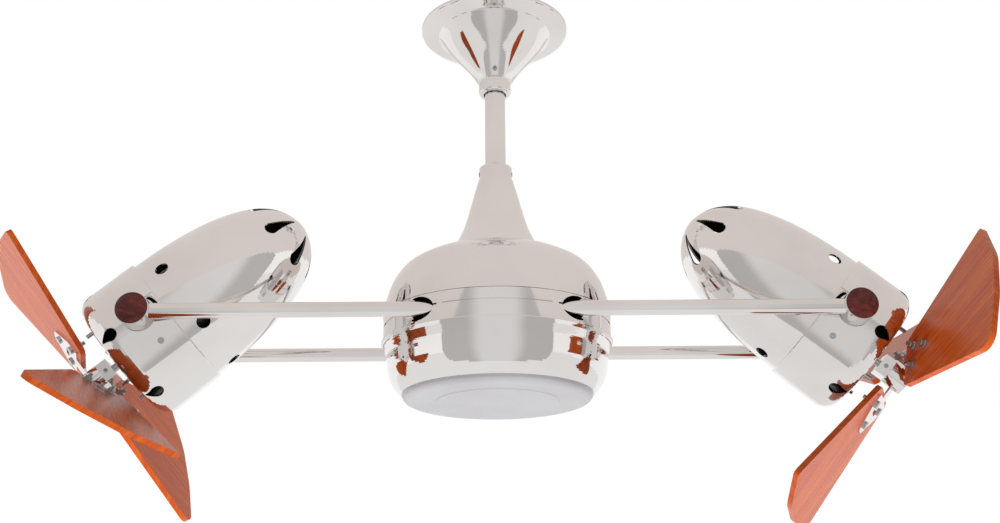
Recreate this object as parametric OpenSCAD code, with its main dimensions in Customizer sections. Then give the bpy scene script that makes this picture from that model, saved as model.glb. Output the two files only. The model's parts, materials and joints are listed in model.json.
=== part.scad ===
// Twin head ceiling fan: two tilting motor heads on a turning body below a ceiling canopy.
// Millimetres, +Z up. The origin is the middle of the bracket's top face, on the ceiling.

/* [Ceiling bracket] */
// length of the bracket's top strap
bracket_len = 120; // [112:1:140]
// width of the strap and its legs
bracket_w = 36; // [32:1:44]
// thickness of the steel strap
strap_t = 2.5; // [2:0.1:3]
// distance between the two slotted holes
slot_spacing = 88.9; // [82:0.1:94]
// length of each slotted hole
slot_len = 14; // [8:0.5:18]
// width of each slotted hole
slot_w = 5.2; // [4:0.1:6.5]
// distance from the ceiling to the top of the ball seat
seat_drop = 27; // [24:0.5:29]
// distance between the bracket's legs
leg_gap = 50; // [46:1:54]
// radius of the hanger ball
ball_r = 18; // [17:0.25:19]

/* [Downrod] */
// outer radius of the downrod
downrod_r = 11.2; // [10.4:0.1:12]
// wall of the downrod
downrod_wall = 2; // [1.5:0.1:3]
// distance from the downrod's lower end to the turning body's top
downrod_clear = 26; // [20:1:32]
// radius of the cross pins in the downrod
pin_r = 2.5; // [2:0.1:3]

/* [Canopy] */
// radius of the canopy's rim
canopy_r = 82; // [78:0.5:90]
// height of the canopy
canopy_h = 81.5; // [80:0.1:84]
// radius of the canopy's lower collar
canopy_collar_r = 17.6; // [17:0.1:20]
// wall of the canopy
canopy_wall = 1.8; // [1.2:0.1:2.4]
// how far the canopy slides down for wiring
canopy_travel = 82; // [78:1:86]

/* [Lower cone] */
// free space between the lowered canopy and the cone
cone_clear = 6.6; // [3:0.1:8]
// height of the lower cone with its collar
cone_h = 97.2; // [92:0.2:106]
// length of the cone's straight collar
cone_collar_len = 13; // [9:0.5:16]
// radius of the cone's straight collar
cone_collar_r = 17.6; // [17:0.1:20]
// radius of the cone's lower edge
cone_base_r = 47; // [44:0.5:56]
// wall of the lower cone
cone_wall = 1.6; // [1.2:0.1:2.2]
// radius of the coupling inside the cone
coupling_r = 14.6; // [14:0.1:15.4]
// gap between the cone and the turning body
cone_gap = 1.4; // [0.8:0.1:4]

/* [Central body] */
// radius of the central body
body_r = 118.5; // [114:0.5:126]
// height of the upper shell
shell_h = 73.3; // [68:0.1:80]
// height of the band between the two shells
band_h = 27; // [25:0.1:31]
// how far the bowl's raised lip stands out from the body
lip_out = 1.2; // [0.6:0.1:2.4]
// depth of the lower bowl
bowl_h = 53; // [46:0.2:62]
// wall of the body's shells
shell_wall = 2; // [1.4:0.1:3]
// radius of the flat disc that closes the bowl
disc_r = 97.5; // [92:0.5:102]
// thickness of the disc
disc_t = 7.5; // [5:0.25:9]
// radius of the raised centre of the disc
disc_pad_r = 63; // [40:1:76]

/* [Spindle] */
// radius of the fixed spindle
spindle_r = 10; // [9:0.1:10.6]
// radius of the wire hole along the spindle
spindle_bore_r = 4; // [3:0.1:6]
// free space between the spindle's lower end and the disc
spindle_clear = 8; // [5:0.5:12]
// outer radius of the body's two bearings
bearing_r = 19; // [18:0.1:20]
// height of the body's bearings
bearing_h = 12; // [10:0.5:14]
// running clearance of the shafts in their bearings
running_gap = 0.05; // [0.03:0.01:0.09]
// radius of the slip ring drum
drum_r = 13.4; // [12.4:0.1:14.4]
// number of slip rings on the drum
ring_count = 4; // [2:1:5]

/* [Carrying rods] */
// radius of the two carrying rods
rod_r = 7.5; // [6.5:0.1:8]
// wall of the cup between a rod's end and the cap's seat
rod_web = 0.8; // [0.5:0.1:3]
// place of the rods on the band between the shells, as a share of its height
rod_share = 0.5; // [0.45:0.005:0.55]
// free space round a rod where it enters the body
rod_clear = 4.5; // [3:0.25:5]
// width of the carrier's two rod clamps
clamp_w = 20; // [14:1:26]
// distance of the rod clamps from the middle
clamp_x = 38; // [34:1:46]

/* [Pivots] */
// distance from the middle to each head's pivot
pivot_x = 351.3; // [345:0.1:370]
// radius of the pivot cups
cup_r = 16.2; // [15.8:0.1:17.4]
// length of the pivot cups
cup_len = 22.6; // [22:0.1:28]
// radius of the pivot bolts
bolt_r = 5; // [4:0.1:6]
// width of the cup's rim round its wooden cap
cap_rim = 0.8; // [0.7:0.1:1.4]
// height of the wooden caps' domes
cap_dome = 4; // [2:0.25:8]
// thickness of the friction washers
washer_t = 1.9; // [1:0.1:2.1]

/* [Motor heads] */
// angle of each head below the horizontal, in degrees
head_tilt = 39.8; // [20:0.2:60]
// radius of the front housing
head_r = 73; // [71:0.25:74]
// wall of the head's housings
head_wall = 2.2; // [1.6:0.1:3]
// distance from the pivot back to the housing seam
seam_back = 24.2; // [22:0.2:29]
// distance from the pivot to the housing's front face
face_fwd = 46.6; // [45:0.2:50]
// radius of the rounded edge of the front face
face_round = 17.4; // [14:0.2:19]
// length of the tail behind the seam
tail_len = 162.5; // [154:0.5:176]
// step between the front housing and the tail
tail_step = 3; // [2.3:0.1:3.6]
// length of the tail's collar inside the front housing
lap = 36; // [33:0.5:40]
// distance from the pivot back to the housing screws
screw_back = 1.7; // [1:0.1:4]
// radius of the round holes in the tail
tail_hole_r = 7; // [4:0.1:8]
// number of round holes in the tail
tail_holes = 6; // [4:1:8]
// number of long slots at the nose
nose_slots = 7; // [5:1:8]
// number of slots round the front edge
face_slots = 6; // [3:1:7]
// radius of the motor's can
can_r = 50; // [46:0.5:53]
// length of the motor's can
can_len = 96; // [88:1:104]

/* [Propellers] */
// radius of the motor shaft
shaft_r = 4; // [3.5:0.1:4.5]
// distance from the pivot to the middle of the blades
hub_fwd = 76.6; // [74:0.2:86]
// radius of the hub
hub_r = 14; // [13:0.1:16]
// length of the hub
hub_len = 21; // [20:0.5:26]
// pitch of the blades, in degrees
blade_pitch = 19.9; // [16:0.1:24]
// thickness of the blades
blade_t = 5.5; // [4:0.1:6.5]
// radius from the shaft to the blades' inner edge
blade_root = 24; // [22:0.5:28]
// radius from the shaft to the blades' long tip
blade_tip = 182; // [174:1:190]
// width of the blades at the inner edge
root_w = 58; // [54:1:64]
// width of the blades at the tip
tip_w = 164; // [144:1:170]
// thickness of the blade irons
iron_t = 2; // [1.5:0.1:2.5]
// radius of the blade screws
screw_r = 2.2; // [1.8:0.1:2.5]
// turn of the left propeller at rest, in degrees
left_turn = 0; // [0:1:119]
// turn of the right propeller at rest, in degrees
right_turn = 8; // [0:1:119]

/* [Hidden] */

$fn = 96;
// small overlap that makes cuts run clean through
cut = 1;
// clearance of parts that are fixed together
fixed_gap = 0.05;
// clearance of parts that slide or turn without a bearing
free_gap = 0.3;

chrome = [0.86, 0.86, 0.88];
steel = [0.62, 0.63, 0.65];
cast = [0.5, 0.5, 0.5];
wood = [0.62, 0.27, 0.12];
dark_wood = [0.33, 0.11, 0.08];
copper = [0.74, 0.43, 0.25];
pale = [0.9, 0.9, 0.9];
black = [0.1, 0.1, 0.1];

// one step of a smooth curve through four points
function curve(a, b, c, d, t) = 0.5 * (
  2 * b
  + (c - a) * t
  + (2 * a - 5 * b + 4 * c - d) * t * t
  + (3 * b - a - 3 * c + d) * t * t * t);
// a smooth curve through all the points of a list
function smooth(p, n) = [
  for (i = [0 : len(p) - 2])
    for (k = [0 : n - 1])
      curve(p[max(i - 1, 0)], p[i], p[i + 1], p[min(i + 2, len(p) - 1)], k / n),
  p[len(p) - 1]
];
// the direction square to a curve at one of its points
function side(p, i) =
  let (v = p[min(i + 1, len(p) - 1)] - p[max(i - 1, 0)])
  [-v[1], v[0]] / norm(v);
// a curve moved sideways by a wall thickness
function inset(p, t) = [for (i = [0 : len(p) - 1]) p[i] + side(p, i) * t];
// the same points from the last to the first
function back(p) = [for (i = [len(p) - 1 : -1 : 0]) p[i]];
// points of an arc
function arc(cx, cy, r, a0, a1, n) =
  [for (i = [0 : n]) let (a = a0 + (a1 - a0) * i / n) [cx + r * cos(a), cy + r * sin(a)]];
// one rounded corner of an outline, between the points a and c
function corner(a, b, c, r, n) =
  let (
    u = (a - b) / norm(a - b),
    v = (c - b) / norm(c - b),
    half = acos(u * v) / 2,
    m = (u + v) / norm(u + v),
    o = b + m * r / sin(half),
    p = b + u * r / tan(half),
    q = b + v * r / tan(half),
    a0 = atan2(p[1] - o[1], p[0] - o[0]),
    a1 = atan2(q[1] - o[1], q[0] - o[0]),
    turn = a1 - a0,
    sweep = turn > 180 ? turn - 360 : (turn < -180 ? turn + 360 : turn)
  )
  arc(o[0], o[1], r, a0, a0 + sweep, n);
// an outline with all its corners rounded
function rounded(p, r) = [
  for (i = [0 : len(p) - 1])
    each corner(p[(i + len(p) - 1) % len(p)], p[i], p[(i + 1) % len(p)], r[i], 7)
];

// a tube along Z
module tube(ro, ri, h) {
  difference() {
    cylinder(r = ro, h = h);
    translate([0, 0, -cut]) cylinder(r = ri, h = h + 2 * cut);
  }
}

// a cylinder along Y, from y0 to y1
module along_y(r, y0, y1) {
  translate([0, y0, 0]) rotate([-90, 0, 0]) cylinder(r = r, h = y1 - y0);
}

// a cylinder along X, from x0 to x1
module along_x(r, x0, x1) {
  translate([x0, 0, 0]) rotate([0, 90, 0]) cylinder(r = r, h = x1 - x0);
}

// ---------- ceiling bracket ----------

seat_hole_r = ball_r - 2;
ball_z = -seat_drop + sqrt(ball_r * ball_r - seat_hole_r * seat_hole_r);
leg_x = leg_gap / 2;
// hole for the wires in the bracket's strap
wire_hole_r = 12;
// how far the pins' ends lie below the surface round them
pin_sink = 1.2;

module slot(len, wid, h) {
  for (s = [-1, 1]) translate([s * (len - wid) / 2, 0, 0]) cylinder(r = wid / 2, h = h);
  translate([-(len - wid) / 2, -wid / 2, 0]) cube([len - wid, wid, h]);
}

module hanger_bracket() {
  color(steel) difference() {
    union() {
      translate([-bracket_len / 2, -bracket_w / 2, -strap_t])
        cube([bracket_len, bracket_w, strap_t]);
      for (s = [0, 1]) mirror([s, 0, 0])
        translate([leg_x, -bracket_w / 2, -seat_drop - strap_t])
          cube([strap_t, bracket_w, seat_drop + strap_t]);
      translate([-leg_x - strap_t / 2, -bracket_w / 2, -seat_drop - strap_t])
        cube([leg_gap + strap_t, bracket_w, strap_t]);
    }
    for (s = [-1, 1]) translate([s * slot_spacing / 2, 0, -strap_t - cut])
      slot(slot_len, slot_w, strap_t + 2 * cut);
    translate([0, 0, -strap_t - cut]) cylinder(r = wire_hole_r, h = strap_t + 2 * cut);
    translate([0, 0, ball_z]) sphere(r = ball_r + fixed_gap);
    translate([0, 0, -seat_drop - strap_t - cut])
      cylinder(r = seat_hole_r - strap_t, h = strap_t + 2 * cut);
  }
}

// height at which the ball's top is cut flat
ball_top = -7;

module hanger_ball() {
  color(steel) difference() {
    translate([0, 0, ball_z]) sphere(r = ball_r);
    translate([-ball_r, -ball_r, ball_top]) cube([2 * ball_r, 2 * ball_r, ball_r]);
    translate([0, 0, ball_z - ball_r - cut]) cylinder(r = downrod_r + fixed_gap, h = 2 * ball_r + 2 * cut);
    translate([0, 0, ball_z]) along_y(pin_r + fixed_gap, -ball_r, ball_r);
  }
}

module ball_pin() {
  color(steel) translate([0, 0, ball_z]) along_y(pin_r, -ball_r + pin_sink, ball_r - pin_sink);
}

// ---------- downrod, coupling and cone ----------

// distances from the ceiling down the fan
cone_top = canopy_h + canopy_travel + cone_clear;
collar_end = cone_top + cone_collar_len;
cone_end = cone_top + cone_h;
body_top = cone_end + cone_gap;
shell_end = body_top + shell_h;
band_end = shell_end + band_h;
bowl_end = band_end + bowl_h;
rod_drop = shell_end + rod_share * band_h;
downrod_top = 5;
downrod_end = body_top - downrod_clear;
coupling_top = collar_end + 8;
coupling_end = downrod_end + 12;
coupling_pin_z = -(coupling_top + downrod_end) / 2;

module downrod() {
  color(chrome) difference() {
    translate([0, 0, -downrod_end])
      tube(downrod_r, downrod_r - downrod_wall, downrod_end - downrod_top);
    translate([0, 0, ball_z]) along_y(pin_r + fixed_gap, -ball_r, ball_r);
    translate([0, 0, coupling_pin_z]) along_y(pin_r + fixed_gap, -ball_r, ball_r);
  }
}

module coupling() {
  color(steel) difference() {
    translate([0, 0, -coupling_end]) cylinder(r = coupling_r, h = coupling_end - coupling_top);
    translate([0, 0, -downrod_end]) cylinder(r = downrod_r + fixed_gap, h = downrod_end);
    translate([0, 0, -coupling_end - cut]) cylinder(r = spindle_r + fixed_gap, h = coupling_end);
    translate([0, 0, coupling_pin_z])
      along_y(pin_r + fixed_gap, -coupling_r - cut, coupling_r + cut);
  }
}

cone_screw_z = -cone_top - cone_collar_len * 0.55;

// the coupling's cross pin and the cone's two set screws
module rod_screws() {
  color(steel) {
    translate([0, 0, coupling_pin_z]) along_y(pin_r, -coupling_r, coupling_r);
    translate([0, 0, cone_screw_z]) for (s = [0, 1]) mirror([s, 0, 0]) difference() {
      along_x(pin_r, downrod_r + fixed_gap, cone_collar_r + 0.6);
      along_x(pin_r / 2, cone_collar_r - 1, cone_collar_r + 2);
    }
  }
}

// bevel at the top of the cone's collar
collar_bevel = 1;
// the cone's side: share of its widening, share of its height
cone_shape = [[0, 0], [0.045, 0.04], [0.115, 0.125], [0.18, 0.205], [0.275, 0.33], [0.37, 0.455],
  [0.467, 0.58], [0.587, 0.705], [0.76, 0.84], [0.885, 0.93], [1, 1]];
cone_curve = smooth([for (p = cone_shape)
  [cone_collar_r + (cone_base_r - cone_collar_r) * p[0],
   -collar_end - (cone_h - cone_collar_len) * p[1]]], 4);

module lower_cone() {
  inner = inset(cone_curve, -cone_wall);
  color(chrome) difference() {
    rotate_extrude() polygon(concat(
      [[downrod_r + free_gap, -cone_top - collar_bevel],
       [downrod_r + free_gap + collar_bevel, -cone_top],
       [cone_collar_r - collar_bevel, -cone_top],
       [cone_collar_r, -cone_top - collar_bevel]],
      cone_curve,
      [[cone_base_r - cone_wall, -cone_end]],
      [for (i = [len(inner) - 2 : -1 : 1]) if (inner[i][1] < -collar_end) inner[i]],
      [[cone_collar_r - cone_wall, -collar_end],
       [downrod_r + free_gap, -collar_end]]));
    translate([0, 0, cone_screw_z]) for (s = [0, 1]) mirror([s, 0, 0])
      along_x(pin_r + fixed_gap, downrod_r, cone_collar_r + cut);
  }
}

// ---------- spindle, slip rings ----------

spindle_top = downrod_end + 1;
spindle_end = bowl_end - spindle_clear;
nut_h = 7;
lower_bearing_z = -spindle_end + nut_h + 1;
upper_bearing_z = -body_top - bearing_h - 8;
// collar of the spindle above the upper bearing
shoulder_r = spindle_r + 1.6;
shoulder_h = 5;
ring_pitch = 7;
ring_w = 3;
// length of the spindle that the rings take
rings_h = ring_pitch * (ring_count - 1);
drum_h = rings_h + 13;
drum_z = -rod_drop - drum_h / 2;
wire_exit_r = 2;

module spindle() {
  color(steel) difference() {
    union() {
      translate([0, 0, -spindle_end]) cylinder(r = spindle_r, h = spindle_end - spindle_top);
      translate([0, 0, upper_bearing_z + bearing_h + free_gap]) cylinder(r = shoulder_r, h = shoulder_h);
    }
    translate([0, 0, -spindle_end - cut]) cylinder(r = spindle_bore_r, h = spindle_end);
    translate([0, 0, -rod_drop]) along_x(wire_exit_r, -spindle_r - cut, spindle_r + cut);
  }
}

module slip_drum() {
  color(copper) translate([0, 0, drum_z]) difference() {
    union() {
      cylinder(r = drum_r - 1, h = drum_h);
      for (i = [0 : ring_count - 1])
        translate([0, 0, (drum_h - rings_h - ring_w) / 2 + ring_pitch * i])
          cylinder(r = drum_r, h = ring_w);
    }
    translate([0, 0, -cut]) cylinder(r = spindle_r + fixed_gap, h = drum_h + 2 * cut);
  }
}

module spindle_nut() {
  color(steel) translate([0, 0, -spindle_end]) difference() {
    cylinder(r = spindle_r * 1.6, h = nut_h, $fn = 6);
    translate([0, 0, -cut]) cylinder(r = spindle_r + fixed_gap, h = nut_h + 2 * cut);
  }
}

// ---------- canopy ----------

canopy_bore_r = downrod_r + free_gap;
// the canopy's side: share of its widening, share of its height
canopy_shape = [[1, 0.037], [0.977, 0.056], [0.845, 0.074], [0.72, 0.092], [0.674, 0.123],
  [0.534, 0.27], [0.394, 0.405], [0.255, 0.534], [0.154, 0.638], [0.076, 0.73], [0.026, 0.81]];
canopy_curve = smooth([for (p = canopy_shape)
  [canopy_collar_r + (canopy_r - canopy_collar_r) * p[0], -canopy_h * p[1]]], 5);
// top of the canopy's thick collar, and its set screw
canopy_plug_z = -canopy_h * 0.64;
canopy_screw_z = -canopy_h * 0.727;
// radius of the canopy where the screw enters it
canopy_skin_r = canopy_collar_r + (canopy_r - canopy_collar_r) * 0.078;
// gap between the canopy's rim and the ceiling
ceiling_gap = 0.2;
// rounded lower edge of the collar, and the bevel of its mouth
collar_round = 3;
mouth_bevel = 1;

module canopy() {
  inner = inset(canopy_curve, -canopy_wall);
  color(chrome) difference() {
    rotate_extrude($fn = 128) polygon(concat(
      [[canopy_r - canopy_wall, -ceiling_gap], [canopy_r, -ceiling_gap]],
      canopy_curve,
      [[canopy_collar_r, -canopy_h * 0.82]],
      arc(canopy_collar_r - collar_round, -canopy_h + collar_round, collar_round, 0, -90, 5),
      [[canopy_bore_r + mouth_bevel, -canopy_h],
       [canopy_bore_r, -canopy_h + mouth_bevel],
       [canopy_bore_r, canopy_plug_z]],
      [for (i = [len(inner) - 1 : -1 : 1]) if (inner[i][1] > canopy_plug_z) inner[i]]));
    translate([0, 0, canopy_screw_z]) along_y(pin_r + fixed_gap, -canopy_r, 0);
  }
}

module canopy_screw() {
  color(steel) translate([0, 0, canopy_screw_z]) difference() {
    along_y(pin_r, -canopy_skin_r - 1.5, -canopy_bore_r);
    along_y(pin_r / 2, -canopy_skin_r - 3, -canopy_skin_r);
  }
}

// ---------- places of the cups, caps and rods ----------

// how far the heads' pivot bosses stand out of the housing
boss_out = 1.1;
washer_y = head_r + boss_out + free_gap;
cup_y = washer_y + washer_t;
cup_front = cup_y + cup_len;
// the recess in a cup's outer end, and the seat for its cap
cup_inner_r = cup_r - 3.3;
recess_depth = 13;
cap_r = cup_r - cap_rim;
cap_seat = 2.6;
// the rods lie just behind the seats, and end where they meet the cups' round
rod_y = cup_front - cap_seat - rod_r - rod_web;
rod_seat = sqrt(cup_r * cup_r - rod_r * rod_r);
rod_half = pivot_x - rod_seat;

// ---------- central body ----------

hub_tube_r = bearing_r + 6;
// radius of the hole in the shell's top for the spindle
shell_hole_r = hub_tube_r - 4;
// inner radius of the band, which the bowl's upper edge shares
band_in_r = body_r - shell_wall - 3;
lip_r = body_r + lip_out;
lip_h = 1.8;
// width of the bowl's lower edge that lies on the disc
disc_seat = 3;
// the shell's and the bowl's sides: share of the body's radius, share of their height
shell_shape = [[0.3, 0], [0.4, 0.01], [0.536, 0.06], [0.688, 0.156], [0.828, 0.3],
  [0.922, 0.52], [0.972, 0.76], [0.992, 0.91], [1, 1]];
shell_curve = smooth([for (p = shell_shape) [body_r * p[0], -body_top - shell_h * p[1]]], 6);
bowl_shape = [[1, 0.04], [0.997, 0.1], [0.985, 0.18], [0.968, 0.3], [0.958, 0.45], [0.945, 0.62],
  [0.913, 0.79], [0.87, 0.92]];
bowl_curve = smooth(concat(
  [for (p = bowl_shape) [body_r * p[0], -band_end - bowl_h * p[1]]],
  [[disc_r + 1, -bowl_end]]), 5);

// free way for the two rods through the body's skin
module rod_way() {
  for (s = [-1, 1]) translate([0, s * rod_y, -rod_drop])
    along_x(rod_r + rod_clear, -lip_r - cut, lip_r + cut);
}

module upper_shell() {
  inner = inset(shell_curve, -shell_wall);
  color(chrome) difference() {
    rotate_extrude($fn = 160) polygon(concat(
      [[shell_hole_r, -body_top], [body_r * 0.28, -body_top]],
      shell_curve,
      [for (i = [len(inner) - 1 : -1 : 1]) inner[i]],
      [[shell_hole_r, -body_top - shell_wall]]));
    rod_way();
  }
}

// the band's outer radius, and the groove round it
band_r = body_r - 0.8;
groove_w = 1.6;
groove_r = band_r - 1.8;
groove_z = -shell_end - band_h * 0.45;

module seam_band() {
  color(chrome) difference() {
    rotate_extrude($fn = 160) polygon([
      [band_in_r, -shell_end - free_gap],
      [band_r, -shell_end - free_gap],
      [band_r, groove_z + groove_w / 2],
      [groove_r, groove_z + groove_w / 2],
      [groove_r, groove_z - groove_w / 2],
      [band_r, groove_z - groove_w / 2],
      [band_r, -band_end],
      [band_in_r, -band_end]]);
    rod_way();
  }
}

module lower_bowl() {
  inner = inset(bowl_curve, -shell_wall);
  low = -bowl_end + shell_wall + 0.5;
  high = -band_end - 5;
  color(chrome) difference() {
    rotate_extrude($fn = 160) polygon(concat(
      [[band_in_r, -band_end], [lip_r, -band_end], [lip_r, -band_end - lip_h]],
      bowl_curve,
      [[disc_r - disc_seat, -bowl_end], [disc_r - disc_seat, -bowl_end + shell_wall]],
      [for (p = back(inner)) if (p[1] > low && p[1] < high) p],
      [[band_in_r, high + 1]]));
    rod_way();
  }
}

// height of the disc's raised centre, and the width of its rounded edge
pad_t = 0.7;
disc_round = 10;
// the rounded edge: share of its width, share of the height above the flat
disc_edge = smooth([for (p = [[0, 0], [0.4, 0.04], [0.72, 0.2], [0.93, 0.55], [1, 1]])
  [disc_r - disc_round * (1 - p[0]), pad_t + (disc_t - pad_t) * p[1]]], 4);

module bottom_disc() {
  color(pale) translate([0, 0, -bowl_end - disc_t]) rotate_extrude($fn = 160) polygon(concat(
    [[0, 0], [disc_pad_r, 0], [disc_pad_r + pad_t, pad_t]],
    disc_edge,
    [[0, disc_t]]));
}

// metal round each rod in the carrier's clamps
clamp_wall = 6.5;
carrier_h = 2 * (rod_r + clamp_wall);
carrier_z = -rod_drop - carrier_h / 2;
clamp_y = rod_y + rod_r + clamp_wall;
// the carrier's beam, its arms out to the band and the posts that hold the disc
beam_w = 28;
arm_w = 16;
arm_h = 10;
post_r = 5;
post_x = disc_pad_r + 16;

// the carrier's tube for the bearings starts a little below the lower one
tube_lip = 2;
tube_z = lower_bearing_z - tube_lip;

brush_w = 12;
brush_h = rings_h + 7;
brush_z = -rod_drop - brush_h / 2;

module rod_carrier() {
  color(cast) difference() {
    union() {
      translate([0, 0, tube_z]) cylinder(r = hub_tube_r, h = -body_top - shell_wall - tube_z);
      intersection() {
        translate([0, 0, carrier_z]) cylinder(r = band_in_r - 0.5, h = carrier_h);
        union() {
          for (s = [-1, 1]) translate([s * clamp_x - clamp_w / 2, -clamp_y, carrier_z])
            cube([clamp_w, 2 * clamp_y, carrier_h]);
          translate([-clamp_x, -beam_w / 2, carrier_z]) cube([2 * clamp_x, beam_w, carrier_h]);
          translate([-body_r, -arm_w / 2, carrier_z]) cube([2 * body_r, arm_w, arm_h]);
        }
      }
      for (s = [-1, 1]) translate([s * post_x, 0, -bowl_end])
        cylinder(r = post_r, h = bowl_end + carrier_z + arm_h);
    }
    translate([0, 0, tube_z - cut]) cylinder(r = bearing_r - 2.5, h = bowl_end);
    translate([0, 0, tube_z - cut]) cylinder(r = bearing_r + fixed_gap, h = bearing_h + tube_lip + cut);
    translate([0, 0, upper_bearing_z]) cylinder(r = bearing_r + fixed_gap, h = bowl_end);
    for (s = [-1, 1]) translate([0, s * rod_y, -rod_drop]) along_x(rod_r + fixed_gap, -body_r, body_r);
    translate([-brush_w / 2, -clamp_y, brush_z]) cube([brush_w, clamp_y, brush_h]);
  }
}

// wall of a bearing's two races, and the depth of the groove between them
race_t = 2.4;
race_depth = 1;

module body_bearings() {
  color(steel) for (z = [lower_bearing_z, upper_bearing_z]) translate([0, 0, z]) difference() {
    cylinder(r = bearing_r, h = bearing_h);
    translate([0, 0, -cut]) cylinder(r = spindle_r + running_gap, h = bearing_h + 2 * cut);
    for (h = [-cut, bearing_h - race_depth]) translate([0, 0, h])
      tube(bearing_r - race_t, spindle_r + race_t, race_depth + cut);
  }
}

// the brush block's inner face, the brushes that reach out of it and their size
block_in = drum_r + 3;
block_out = hub_tube_r + 6;
brush_gap = 0.6;
brush_tip = [4, 2];
brush_low = -rod_drop - rings_h / 2 - brush_tip[1] / 2;

module brush_block() {
  color(black) {
    translate([-brush_w / 2 + fixed_gap, -block_out, brush_z + fixed_gap])
      cube([brush_w - 2 * fixed_gap, block_out - block_in, brush_h - 2 * fixed_gap]);
    for (i = [0 : ring_count - 1])
      translate([-brush_tip[0] / 2, -block_in - cut, brush_low + ring_pitch * i])
        cube([brush_tip[0], block_in + cut - drum_r - brush_gap, brush_tip[1]]);
  }
}

// ---------- rods and pivots ----------

module front_rod() {
  color(chrome) translate([0, -rod_y, -rod_drop]) along_x(rod_r, -rod_half, rod_half);
}

module rear_rod() {
  color(chrome) translate([0, rod_y, -rod_drop]) along_x(rod_r, -rod_half, rod_half);
}

// small step round the cup's outer edge
edge_in = 0.2;
edge_len = 0.8;

module cup() {
  difference() {
    union() {
      along_y(cup_r, cup_y, cup_front - edge_len);
      along_y(cup_r - edge_in, cup_y, cup_front);
    }
    along_y(bolt_r + fixed_gap, cup_y - cut, cup_front);
    along_y(cup_inner_r, cup_front - recess_depth, cup_front + cut);
    along_y(cap_r + fixed_gap, cup_front - cap_seat, cup_front + cut);
    translate([0, rod_y, 0]) along_x(rod_r + fixed_gap, rod_seat, cup_r + cut);
  }
}

module cups(s) {
  color(chrome) translate([s * pivot_x, 0, -rod_drop]) rotate([0, 0, s > 0 ? 180 : 0])
    for (m = [0, 1]) mirror([0, m, 0]) cup();
}

// radius of the sphere that gives the caps their dome
dome_r = (cap_r * cap_r + cap_dome * cap_dome) / (2 * cap_dome);
plug_len = 3;

module wood_cap() {
  translate([0, cup_front, 0]) rotate([-90, 0, 0]) {
    intersection() {
      cylinder(r = cap_r, h = cap_dome + cut);
      translate([0, 0, cap_dome - dome_r]) sphere(r = dome_r);
    }
    translate([0, 0, -cap_seat]) cylinder(r = cap_r, h = cap_seat);
    translate([0, 0, -cap_seat - plug_len]) cylinder(r = cup_inner_r - fixed_gap, h = plug_len + cut);
  }
}

module wood_caps() {
  color(dark_wood) for (sx = [-1, 1]) translate([sx * pivot_x, 0, -rod_drop])
    for (m = [0, 1]) mirror([0, m, 0]) wood_cap();
}

// inner end of the heads' pivot bosses
boss_in = head_r - head_wall - 6;
// the pivot bolt's nut, and the bolt's end beyond it
nut_t = 4;
bolt_end = boss_in - nut_t - 2;
bolt_head_h = 6;

// six-sided bolt head or nut, drawn along Y
module hexagon(r, y0, h) {
  translate([0, y0, 0]) rotate([-90, 0, 0]) cylinder(r = r, h = h, $fn = 6);
}

// pivot bolt with its friction washer and lock nut
module pivot_bolt() {
  along_y(bolt_r, bolt_end, cup_front - recess_depth + cut);
  hexagon(bolt_r * 1.8, cup_front - recess_depth, bolt_head_h);
  along_y(cup_r - 3, washer_y, cup_y);
  hexagon(bolt_r * 1.7, boss_in - free_gap - nut_t, nut_t);
}

module pivot_bolts() {
  color(steel) for (sx = [-1, 1]) translate([sx * pivot_x, 0, -rod_drop])
    for (m = [0, 1]) mirror([0, m, 0]) pivot_bolt();
}

// ---------- motor heads, drawn along +Z from the pivot ----------

// puts a head's own frame at its pivot: s is -1 on the left and 1 on the right
module at_head(s) {
  translate([s * pivot_x, 0, -rod_drop]) rotate([0, s * (90 + head_tilt), 0]) children();
}

tail_r = head_r - tail_step;
tail_inner_r = tail_r - head_wall;
boss_r = 14;
shaft_hole_r = shaft_r + 5;
// rounding of the housing's rear edge
rear_edge = 1.4;

// first face slot of the left and of the right head, in degrees
left_phase = -88.5;
right_phase = -89;
// wide end and tip of the face slots, as half widths and places along the head
face_slot_wide = 6.8;
face_slot_tip = 0.8;
face_slot_z = 32.5;
face_slot_end = face_fwd - 3;

// teardrop slot on the rounded edge of the front housing, which points to the face
module face_slot() {
  rotate([0, -90, 0]) translate([0, 0, -head_r - cut]) linear_extrude(head_r + cut - can_r - 6)
    polygon(concat(
      arc(face_slot_z, 0, face_slot_wide, 70, 290, 14),
      [[face_slot_end, -face_slot_tip], [face_slot_end, face_slot_tip]]));
}

// curved opening behind each pivot boss: its inner and outer radius and half its angle
arc_in = 18;
arc_out = 22.6;
arc_half = 32;
// narrow slit above the opening: its height above the pivot, and its width
slit_up = 12;
slit_w = 1.7;

// the opening and its slit, drawn behind the boss at the side +Y
module boss_opening() {
  translate([0, tail_r, 0]) rotate([-90, 0, 0]) {
    linear_extrude(head_r) polygon(concat(
      arc(0, 0, arc_out, 90 - arc_half, 90 + arc_half, 12),
      arc(0, 0, arc_in, 90 + arc_half, 90 - arc_half, 10)));
    for (m = [0, 1]) mirror([m, 0, 0])
      translate([slit_up - slit_w / 2, arc_in - 3, 0]) cube([slit_w, seam_back - arc_in + 2, head_r]);
  }
}

// angles of the screws that hold a housing on its tail, which the right head mirrors
screw_angles = [-116, 0, 116];

// puts something at each housing screw of the head on side s
module at_screws(s) {
  for (a = screw_angles) rotate([0, 0, s < 0 ? a : 180 - a]) translate([0, 0, -screw_back]) children();
}

// puts something at each of the motor's long studs
module at_studs() {
  for (i = [0 : stud_count - 1]) rotate([0, 0, stud_phase + 360 / stud_count * i])
    translate([stud_circle, 0, 0]) children();
}

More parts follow.
